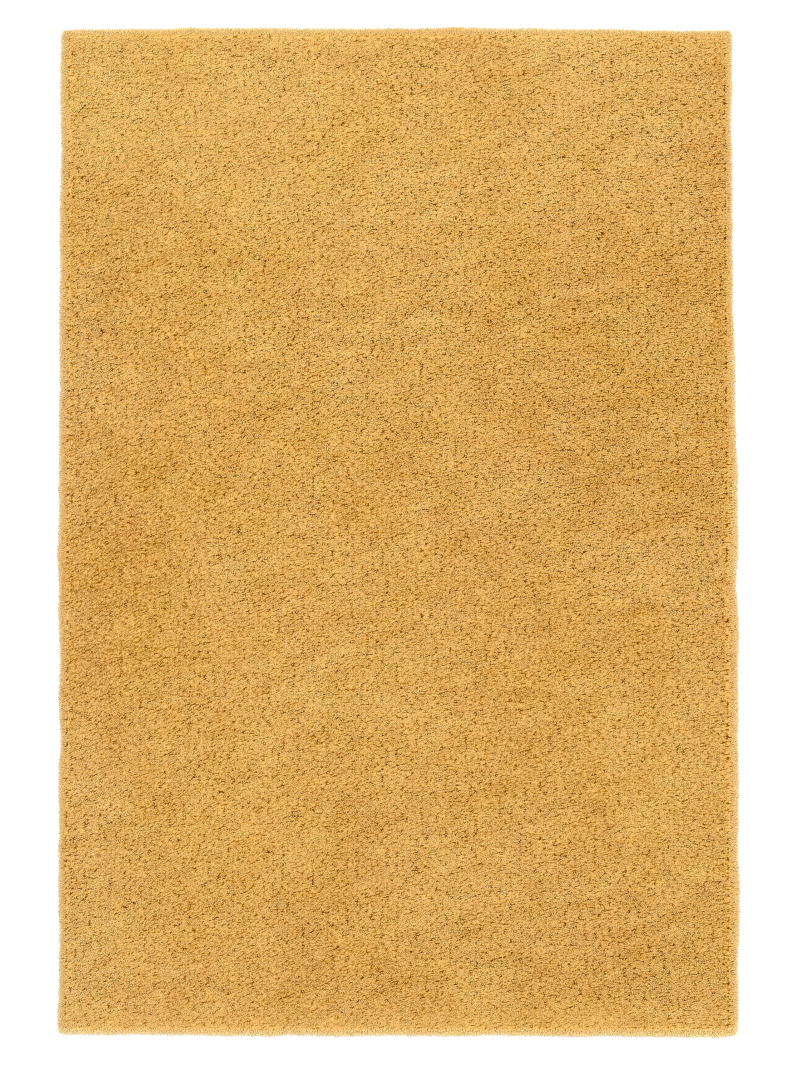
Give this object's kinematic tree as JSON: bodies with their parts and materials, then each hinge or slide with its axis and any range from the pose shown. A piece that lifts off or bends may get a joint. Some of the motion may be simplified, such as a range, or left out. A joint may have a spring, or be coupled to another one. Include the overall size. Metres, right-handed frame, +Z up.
{
  "type": "kids rug",
  "caption": "Flat rectangular deep-pile rug in plain mustard yellow, with soft tufted edges, lying flat on the floor.",
  "frame": {"origin": "on the floor, under the middle of the rug", "axes": "+X across the rug, +Y along its length, +Z up out of the pile"},
  "size_m": [1.224, 1.824, 0.0328],
  "materials": {
    "pile_yarn": "deep cut pile of soft mustard yellow yarn"
  },
  "bodies": {
    "root": {"pile_cloth": "pile_yarn"}
  },
  "joints": []
}
